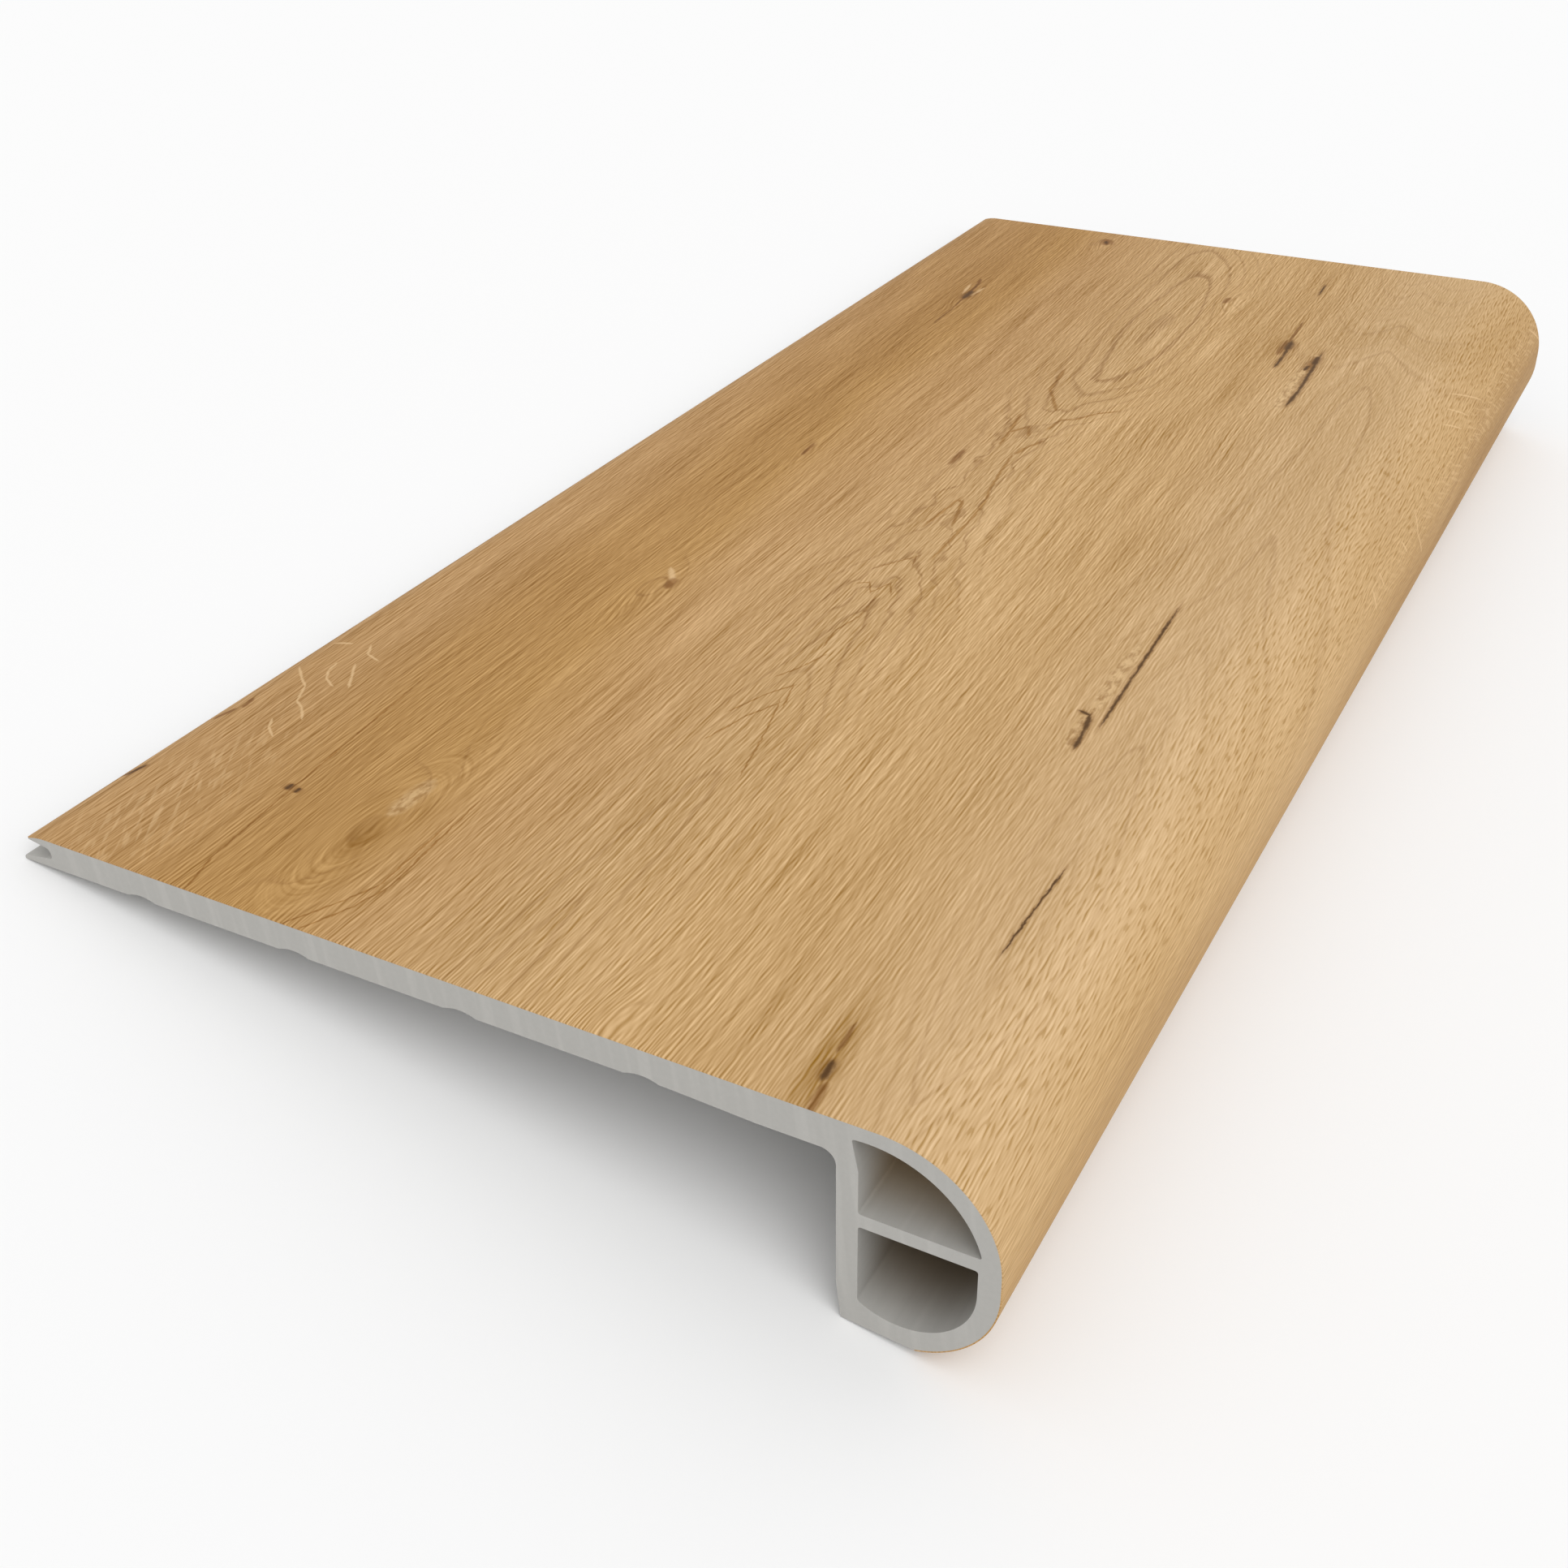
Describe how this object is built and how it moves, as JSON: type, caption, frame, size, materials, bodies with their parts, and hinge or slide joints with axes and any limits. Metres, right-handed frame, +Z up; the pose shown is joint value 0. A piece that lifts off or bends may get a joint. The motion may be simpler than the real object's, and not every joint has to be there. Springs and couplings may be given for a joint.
{
  "type": "flush stair nosing",
  "caption": "Flat tread plate with a hollow rounded nose and a leg behind it, oak-print film on its face and a click groove at the rear edge; finishes the front of a stair step.",
  "frame": {"origin": "centre of the bounding box, on the floor", "axes": "+X along the length, +Y towards the rear click edge with the nose at -Y, +Z up; the piece lies face up on its rear lip and its leg, so the tread face slopes down towards +Y"},
  "size_m": [0.585, 0.2569, 0.0555],
  "materials": {
    "grey_vinyl": "matt light grey rigid vinyl, saw-cut at both ends",
    "oak_print": "satin printed oak film with fine embossed grain"
  },
  "bodies": {
    "root": {"nosing_profile": "grey_vinyl", "oak_film": "oak_print"}
  },
  "joints": []
}
